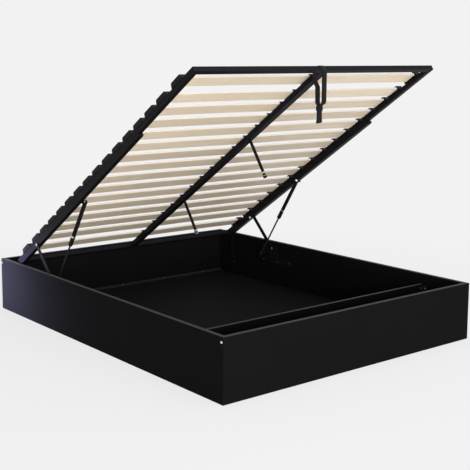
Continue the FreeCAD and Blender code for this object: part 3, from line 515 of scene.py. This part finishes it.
# %% Finishes on the CAD nodes
FINISH_OF = {
    "black_laminate": board_finish,
    "floor_laminate": floor_finish,
    "batten_wood": batten_finish,
    "strip_wood": strip_paint_and_sheen_finish,
    "black_steel": steel_finish,
    "zinc_steel": zinc_finish,
    "strut_rod": rod_finish,
    "slat_wood": slat_finish,
    "black_plastic": plastic_finish,
    "black_rubber": rubber_finish,
    "webbing": webbing_finish,
}
FINISH_OF_NODE = {
    "base_plate_screws": dark_screw_finish,
    "base_pivot_pins": pin_finish,
    "cross_board_brackets": bracket_finish,
}
subparts = frame["record"]["subparts"]
for part in subparts:
    mesh = nodes[part["node"]].data
    mesh.materials.clear()
    mesh.materials.append(FINISH_OF_NODE.get(part["node"], FINISH_OF[part["material_slot"]]))
print("dressed:", len(subparts))

# %% [markdown]
# The modelled pieces come next. Each starts as a primitive, is shaped in edit mode and finished
# with modifiers. These helpers hold what all of them need: a clean selection, a modifier that is
# applied at once, and rounded edges. The hand-over joins the parts of a piece, gives it its name
# and finish, says which body it rides on, and hides the CAD nodes that it stands for.

# %% Modelling helpers
SHARP_EDGE = math.radians(60)
SMOOTH_EDGE = math.radians(40)


def select_only(*pieces):
    bpy.ops.object.select_all(action="DESELECT")
    for piece in pieces:
        piece.select_set(True)
    if pieces:
        bpy.context.view_layer.objects.active = pieces[0]


def start_piece(kind, **options):
    """A new primitive, alone in the selection."""
    select_only()
    getattr(bpy.ops.mesh, "primitive_" + kind + "_add")(**options)
    return bpy.context.object


def apply_modifier(piece, kind, **settings):
    modifier = piece.modifiers.new(kind.lower(), kind)
    for key, value in settings.items():
        setattr(modifier, key, value)
    bpy.context.view_layer.objects.active = piece
    bpy.ops.object.modifier_apply(modifier=modifier.name)


def round_edges(piece, width, segments):
    apply_modifier(piece, "BEVEL", width=width, segments=segments,
                   limit_method="ANGLE", angle_limit=SHARP_EDGE)


def hand_over(parts, name, finish, body, stands_for=()):
    """Join the parts, put the origin at the world's, and give the piece its finish and its body."""
    select_only(*parts)
    bpy.ops.object.transform_apply(location=True, rotation=True, scale=True)
    if len(parts) > 1:
        bpy.ops.object.join()
    piece = bpy.context.view_layer.objects.active
    bpy.ops.object.shade_smooth_by_angle(angle=SMOOTH_EDGE)
    piece.name = piece.data.name = name
    piece.data.materials.append(finish)
    if body:
        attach(piece, body)
    if stands_for:
        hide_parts(*stands_for)
    print("modelled:", name, len(piece.data.polygons), "faces")
    return piece


print("modelling helpers are ready")

# %% [markdown]
# The pull strap is one band of webbing that goes over the foot tube and is held together by a
# slider. Its path comes first: points in the strap's own measure, across, front to back and up
# from the middle of the tube. It runs up from the front tail, over three corners of the square
# tube and down to the rear tail. Points on a corner could be typed in too, but an arc that
# follows the tilt of the tube fits it exactly. The rear leg starts a little to the left, because
# the centre rail is in its way.

# %% Path of the strap
STRAP_PLACE = Vector((box_middle("pull_strap").x, *joints["strap_swing"]["pos_m"][1:]))
BAND_LIFT = 0.0012
LEG_DEPTH = 0.01854
LAYER_DEPTH = 0.0013
FRONT_SKEW = 0.011
REAR_SKEW = -0.0135


def round_corner(turn, before, after, across_before, across_after):
    """Three points that lead the band round one corner of the tube."""
    corner = math.radians(turn) - FRAME_TILT
    reach = TUBE / 2 * math.sqrt(2)
    points = []
    for share in (0, 0.5, 1):
        lean = math.radians(before + share * (after - before))
        across = across_before + share * (across_after - across_before)
        depth = reach * math.cos(corner) + BAND_LIFT * math.cos(lean)
        points.append((across, depth, reach * math.sin(corner) + BAND_LIFT * math.sin(lean)))
    return points


front_side = [(0, -0.0045, -0.250), (0, -0.0026, -0.238)]
front_side += [(0, -LAYER_DEPTH, -0.225), (0, -LAYER_DEPTH, -0.175)]
front_side += [(0.005, -0.006, -0.167), (0.0095, -0.0145, -0.161), (FRONT_SKEW, -0.0181, -0.152)]
front_side += [(FRONT_SKEW, -LEG_DEPTH, up) for up in (-0.1, -0.06, -0.04, -0.02)]
slope = math.degrees(FRAME_TILT)
over_tube = round_corner(225, 180, 180 - slope, FRONT_SKEW, 0.0095)
over_tube += round_corner(135, 180 - slope, 90 - slope, 0.0, -0.001)
over_tube += round_corner(45, 90 - slope, 0, -0.012, REAR_SKEW)
rear_side = [(REAR_SKEW, LEG_DEPTH, up) for up in (-0.02, -0.04, -0.055)]
rear_side += [(0.004, LEG_DEPTH, -0.082), (0.005, LEG_DEPTH, -0.12), (0.005, 0.0181, -0.152)]
rear_side += [(0.004, 0.0145, -0.161), (0.002, 0.006, -0.167), (0, LAYER_DEPTH, -0.175)]
rear_side += [(0, LAYER_DEPTH, -0.225), (0, 0.0026, -0.24), (0, 0.0055, -0.255)]
path = [STRAP_PLACE + Vector(point) for point in front_side + over_tube + rear_side]
webbing_length = sum((there - here).length for here, there in zip(path, path[1:]))
print("webbing:", len(path), "points,", round(webbing_length, 3), "m")

# %% [markdown]
# A curve with a flat profile could be swept along this path, but it twists where the path bends
# sharply. So an edge as wide as the webbing is extruded from point to point, which keeps the band
# level, and a solidify gives it its thickness.

# %% Pull strap
WEBBING_WIDTH = 0.032
WEBBING_THICKNESS = 0.0015
WELD_DISTANCE = 0.00001

strap = start_piece("plane", size=WEBBING_WIDTH, location=path[0])
bpy.ops.object.mode_set(mode="EDIT")
bpy.ops.transform.resize(value=(1, 0, 1))
bpy.ops.mesh.remove_doubles(threshold=WELD_DISTANCE)
bpy.ops.mesh.select_all(action="SELECT")
for here, there in zip(path, path[1:]):
    bpy.ops.mesh.extrude_region_move(TRANSFORM_OT_translate={"value": there - here})
bpy.ops.mesh.select_all(action="SELECT")
bpy.ops.mesh.normals_make_consistent(inside=False)
bpy.ops.object.mode_set(mode="OBJECT")
apply_modifier(strap, "SOLIDIFY", thickness=WEBBING_THICKNESS, offset=0.0)
round_edges(strap, width=0.0004, segments=2)
strap = hand_over([strap], "webbing_pull_strap", webbing_finish, None, ["pull_strap"])
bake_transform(strap)

# %% [markdown]
# The slider is a moulded loop that both layers of webbing run through. A boolean could cut its
# slot, but it leaves faces that are hard to round. So the upper and lower faces of a block are
# inset and then bridged, which makes a clean slot, and a bevel rounds the rims.

# %% Slider
SLIDER_SIZE = (0.038, 0.0098, 0.021)
SLIDER_DROP = 0.184
SLIDER_WALL = 0.0026


def block(size, place=(0, 0, 0)):
    piece = start_piece("cube", size=1, location=place)
    bpy.ops.transform.resize(value=size)
    bpy.ops.object.transform_apply(location=True, rotation=True, scale=True)
    return piece


def pick_faces(piece, wanted):
    """Leave the piece in edit mode with the wanted faces selected."""
    bpy.ops.object.mode_set(mode="EDIT")
    bpy.ops.mesh.select_mode(type="FACE")
    bpy.ops.mesh.select_all(action="DESELECT")
    bpy.ops.object.mode_set(mode="OBJECT")
    for face in piece.data.polygons:
        face.select = wanted(face)
    bpy.ops.object.mode_set(mode="EDIT")


def hollow(piece, wanted, wall):
    """Open a block from one wanted face to the other."""
    pick_faces(piece, wanted)
    bpy.ops.mesh.inset(thickness=wall)
    bpy.ops.mesh.bridge_edge_loops()
    bpy.ops.object.mode_set(mode="OBJECT")


slider = block(SLIDER_SIZE, STRAP_PLACE + Vector((0, 0, -SLIDER_DROP)))
hollow(slider, lambda face: abs(face.normal.z) > 0.9, SLIDER_WALL)
round_edges(slider, width=0.0012, segments=3)
hand_over([slider], "strap_slider", plastic_finish, "pull_strap", ["strap_buckle"])

# %% [markdown]
# Under the slider the two layers are sewn together in a rectangle. A line drawn in the material
# would have no thickness, so each stitch is a short rounded bar that lies half in the webbing. An
# array repeats the bar along a row, and a finished row is copied to the other places.

# %% Stitching
STITCH_DEPTH = 0.0021
STITCH_DOWN, DOWN_STEP, DOWN_COUNT = (0.0007, 0.0006, 0.0028), (0, 0, -0.004), 6
STITCH_ACROSS, ACROSS_STEP, ACROSS_COUNT = (0.0025, 0.0006, 0.0007), (0.0036, 0, 0), 5
SEAM_SIDES, SEAM_TOP = (-0.009, 0.009), -0.199
SEAM_ENDS, SEAM_LEFT = (-0.1975, -0.2205), -0.0072
NO_TURN = (0, 0, 0)


def copies(piece, places):
    """The piece at the first place, a point and a turn, and a copy with its own mesh at the others."""
    pieces = [piece]
    while len(pieces) < len(places):
        select_only(piece)
        bpy.ops.object.duplicate()
        pieces.append(bpy.context.object)
    for one, (point, turn) in zip(pieces, places):
        one.location, one.rotation_euler = point, turn
    return pieces


def stitch_row(size, step, count):
    stitch = block(size)
    round_edges(stitch, width=0.0002, segments=2)
    apply_modifier(stitch, "ARRAY", count=count, use_relative_offset=False, use_constant_offset=True,
                   constant_offset_displace=step)
    return stitch


def seam_place(across, depth, up):
    return STRAP_PLACE + Vector((across, depth, up)), NO_TURN


layers = (-STITCH_DEPTH, STITCH_DEPTH)
sides = [seam_place(across, depth, SEAM_TOP) for depth in layers for across in SEAM_SIDES]
ends = [seam_place(SEAM_LEFT, depth, up) for depth in layers for up in SEAM_ENDS]
stitches = copies(stitch_row(STITCH_DOWN, DOWN_STEP, DOWN_COUNT), sides)
stitches += copies(stitch_row(STITCH_ACROSS, ACROSS_STEP, ACROSS_COUNT), ends)
hand_over(stitches, "strap_stitching", thread_finish, "pull_strap")

# %% [markdown]
# The two slats of a row meet over the centre rail in a double holder. The photo shows next to
# nothing of it beside the rail, so it is a low one: a thin moulded sleeve on a foot. The foot is
# inset and extruded from the underside of a block, and the two ends are hollowed, so that the
# slats run through. One holder is modelled and copied to its rows, which the slats' boxes give.

# %% Centre slat holders
HOLDER_SIZE = (0.026, 0.074, 0.015)
HOLDER_WALL = 0.0015
HOLDER_FOOT = 0.0024
HOLDER_FOOT_INSET = 0.004
HOLDER_GAP = 0.0001
ROWS = 16


def is_sleeve_end(face):
    """True for the two ends of the sleeve, and not for the ends of its foot."""
    return abs(face.normal.x) > 0.9 and face.center.z > -HOLDER_SIZE[2] / 2


holder = block(HOLDER_SIZE)
pick_faces(holder, lambda face: face.normal.z < -0.9)
bpy.ops.mesh.inset(thickness=HOLDER_FOOT_INSET)
bpy.ops.mesh.extrude_region_move(TRANSFORM_OT_translate={"value": (0, 0, -HOLDER_FOOT)})
bpy.ops.object.mode_set(mode="OBJECT")
hollow(holder, is_sleeve_end, HOLDER_WALL)
round_edges(holder, width=0.0006, segments=2)

holder_places = []
for row in range(1, ROWS + 1):
    along = (box_middle("slat_row_%02d" % row) - FRAME_FOOT).dot(ALONG_FRAME)
    point = frame_point(0, along, HOLDER_FOOT + HOLDER_SIZE[2] / 2 + HOLDER_GAP)
    holder_places.append((point, (-FRAME_TILT, 0, 0)))
hand_over(copies(holder, holder_places), "centre_slat_holders", plastic_finish, "lift_frame",
          ["centre_slat_caps"])

# %% [markdown]
# Each gas strut ends in a black sleeve that guards the seal of the rod, and a bright ring shows
# where the tube is rolled in above it. Such pieces are turned on a lathe. A screw modifier could
# turn a profile, but rings that are extruded along the axis and resized need no outline to be
# drawn first. A profile is a list of radii and heights, and one that ends where it starts is a
# tube. Heights count along the strut, from the lower end of its body.

# %% Strut sleeves and rings
STRUT_TOP = Vector(joints["strut_swing"]["pos_m"])
STRUT_WAY = -Vector(joints["rod_slide"]["axis"])
STRUT_ACROSS = box_middle("right_strut_cylinder").x
ROD_HOLE, TUBE_OUTSIDE = 0.0056, 0.01105
SLEEVE_OUTSIDE, RING_OUTSIDE = 0.0119, 0.0124


def turn_piece(profile, sides=32, solid=False):
    """Turn a profile of radii and heights about the z axis; a solid piece has closed ends."""
    radius, height = profile[0]
    piece = start_piece("circle", vertices=sides, radius=radius, location=(0, 0, height))
    bpy.ops.object.mode_set(mode="EDIT")
    bpy.ops.mesh.select_mode(type="VERT")
    bpy.ops.mesh.select_all(action="SELECT")
    if solid:
        bpy.ops.mesh.edge_face_add()
    for next_radius, next_height in profile[1:]:
        bpy.ops.mesh.extrude_region_move(TRANSFORM_OT_translate={"value": (0, 0, next_height - height)})
        bpy.ops.transform.resize(value=(next_radius / radius,) * 3)
        radius, height = next_radius, next_height
    bpy.ops.mesh.select_all(action="SELECT")
    bpy.ops.mesh.remove_doubles(threshold=WELD_DISTANCE)
    bpy.ops.mesh.normals_make_consistent(inside=False)
    bpy.ops.object.mode_set(mode="OBJECT")
    bpy.ops.object.transform_apply(location=True, rotation=True, scale=True)
    return piece


def turn_to(axis):
    """The turn that lays a piece's z axis along another."""
    return Vector(axis).to_track_quat("Z", "Y").to_euler()


sleeve_profile = [(ROD_HOLE, 0.0042), (0.0094, 0.0042), (0.0114, 0.002)]
sleeve_profile += [(SLEEVE_OUTSIDE, -0.002), (SLEEVE_OUTSIDE, -0.05), (0.0115, -0.053)]
sleeve_profile += [(TUBE_OUTSIDE, -0.053), (TUBE_OUTSIDE, 0.0002), (ROD_HOLE, 0.0002)]
sleeve_profile += sleeve_profile[:1]
ring_profile = [(TUBE_OUTSIDE, -0.066), (0.0118, -0.066), (RING_OUTSIDE, -0.0642)]
ring_profile += [(RING_OUTSIDE, -0.0568), (0.0118, -0.055), (TUBE_OUTSIDE, -0.055)]
ring_profile += ring_profile[:1]

strut_body = nodes["right_strut_cylinder"].data.vertices
strut_length = max((corner.co - STRUT_TOP).dot(STRUT_WAY) for corner in strut_body)
strut_ends = []
for across in (-STRUT_ACROSS, STRUT_ACROSS):
    end = STRUT_TOP + strut_length * STRUT_WAY + Vector((across, 0, 0))
    strut_ends.append((end, turn_to(STRUT_WAY)))
sleeves = copies(turn_piece(sleeve_profile), strut_ends)
hand_over(sleeves, "strut_sleeves", plastic_finish, "strut_cylinders")
rings = copies(turn_piece(ring_profile), strut_ends)
hand_over(rings, "strut_rings", zinc_finish, "strut_cylinders")

# %% [markdown]
# The link pins are held by nuts on the inner sides of the arms. A nut could be cut from a
# cylinder, but a turned piece with six sides is one already. Its upper edge is narrower, as the
# chamfer of a real nut is, and a domed end closes it.

# %% Nuts of the link pins
FRONT_PIN = joints["frame_lift"]["pos_m"][1:]
ARM_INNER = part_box("right_lift_arm")[0][0]
NUT_RADIUS = 0.0088

nut_profile = [(NUT_RADIUS, 0), (NUT_RADIUS, 0.0022), (0.008, 0.003)]
nut_profile += [(0.0052, 0.003), (0.0044, 0.0038), (0.0012, 0.0042)]
nut_places = [((side * ARM_INNER, *FRONT_PIN), turn_to((-side, 0, 0))) for side in (-1, 1)]
nuts = copies(turn_piece(nut_profile, sides=6, solid=True), nut_places)
hand_over(nuts, "link_pin_nuts", zinc_finish, "lift_frame")

# %% [markdown]
# The corner bolts hold the boards together. They have a low head with a hexagon socket. Shank and
# head are turned in one go. A round profile can't give six sides, so the socket is made as a real
# one is punched: a six-sided prism goes into the head, and a boolean takes its shape away.

# %% Corner bolts
HEAD_RADIUS, HEAD_HEIGHT = 0.006, 0.003
SHANK_RADIUS, SHANK_LENGTH = 0.003, 0.045
SOCKET_RADIUS, SOCKET_FLOOR, PUNCH_TOP = 0.0029, 0.0009, 0.005

bolt_profile = [(SHANK_RADIUS, -SHANK_LENGTH), (SHANK_RADIUS, -0.0002)]
bolt_profile += [(HEAD_RADIUS, 0), (HEAD_RADIUS, 0.0018), (0.0052, 0.0028), (0.0046, HEAD_HEIGHT)]
bolt = turn_piece(bolt_profile, sides=24, solid=True)
socket_profile = [(SOCKET_RADIUS, SOCKET_FLOOR), (SOCKET_RADIUS, PUNCH_TOP)]
punch = turn_piece(socket_profile, sides=6, solid=True)
apply_modifier(bolt, "BOOLEAN", operation="DIFFERENCE", object=punch)
bpy.data.objects.remove(punch)

bolt_low, bolt_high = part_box("corner_bolts")
bolt_level = (bolt_low[2] + bolt_high[2]) / 2
bolt_run = bolt_high[1] - HEAD_RADIUS
bolt_places = []
for side in (-1, 1):
    for run in (-bolt_run, bolt_run):
        point = (side * (bolt_high[0] - HEAD_HEIGHT), run, bolt_level)
        bolt_places.append((point, turn_to((side, 0, 0))))
bolts = copies(bolt, bolt_places)
hand_over(bolts, "corner_bolt_set", zinc_finish, "storage_box", ["corner_bolts"])

# %% [markdown]
# The tubes are mitred and welded. A weld is a row of overlapping drops. A smooth rod would look
# like glue, so a bead is turned with a radius that swells and shrinks, and lies half in the
# surface. Under the paint it has the same black as the tubes. There are beads on the mitres, at
# the ends of the centre rail, and in short runs where the arms meet the side rails.

# %% Weld beads
CENTRE_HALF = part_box("centre_rail")[1][0]
BEAD_RADIUS, BEAD_WAIST, BEAD_END = 0.0016, 0.78, 0.0006
DROP_STEP = 0.0026
CORNER_INSET = 0.001
CENTRE_TOP, CENTRE_FOOT = -0.003, -TUBE + 0.002
ARM_RUNS, RUN_LENGTH = (0.56, 0.86, 1.16, 1.46, 1.76), 0.035


def weld_beads(ways):
    """A bead on each way, all of one length; a way goes from a first point to a last one."""
    length = (ways[0][1] - ways[0][0]).length
    drops = round(length / DROP_STEP)
    profile = [(BEAD_END, 0)]
    for drop in range(drops):
        swell = 1.0 if drop % 2 else BEAD_WAIST
        profile.append((BEAD_RADIUS * swell, (drop + 0.5) / drops * length))
    profile.append((BEAD_END, length))
    bead = turn_piece(profile, sides=10, solid=True)
    return copies(bead, [(first, turn_to(last - first)) for first, last in ways])


def way(across, along, up):
    """A way on the frame: each measure has its first and its last value."""
    return tuple(frame_point(*measures) for measures in zip(across, along, up))


mitres, rail_ends, arm_welds = [], [], []
for side in (-1, 1):
    outer, inner = side * (FRAME_HALF - CORNER_INSET), side * (FRAME_HALF - TUBE)
    for level in (0, -TUBE):
        for near, far in ((CORNER_INSET, TUBE), (FRAME_LENGTH - CORNER_INSET, FRAME_LENGTH - TUBE)):
            mitres.append(way((outer, inner), (near, far), (level, level)))
    for end in (TUBE, FRAME_LENGTH - TUBE):
        rail_ends.append(way((side * CENTRE_HALF,) * 2, (end, end), (CENTRE_TOP, CENTRE_FOOT)))
    for start in ARM_RUNS:
        arm_welds.append(way((inner, inner), (start, start + RUN_LENGTH), (-TUBE, -TUBE)))
beads = weld_beads(mitres) + weld_beads(rail_ends) + weld_beads(arm_welds)
hand_over(beads, "weld_beads", steel_finish, "lift_frame")
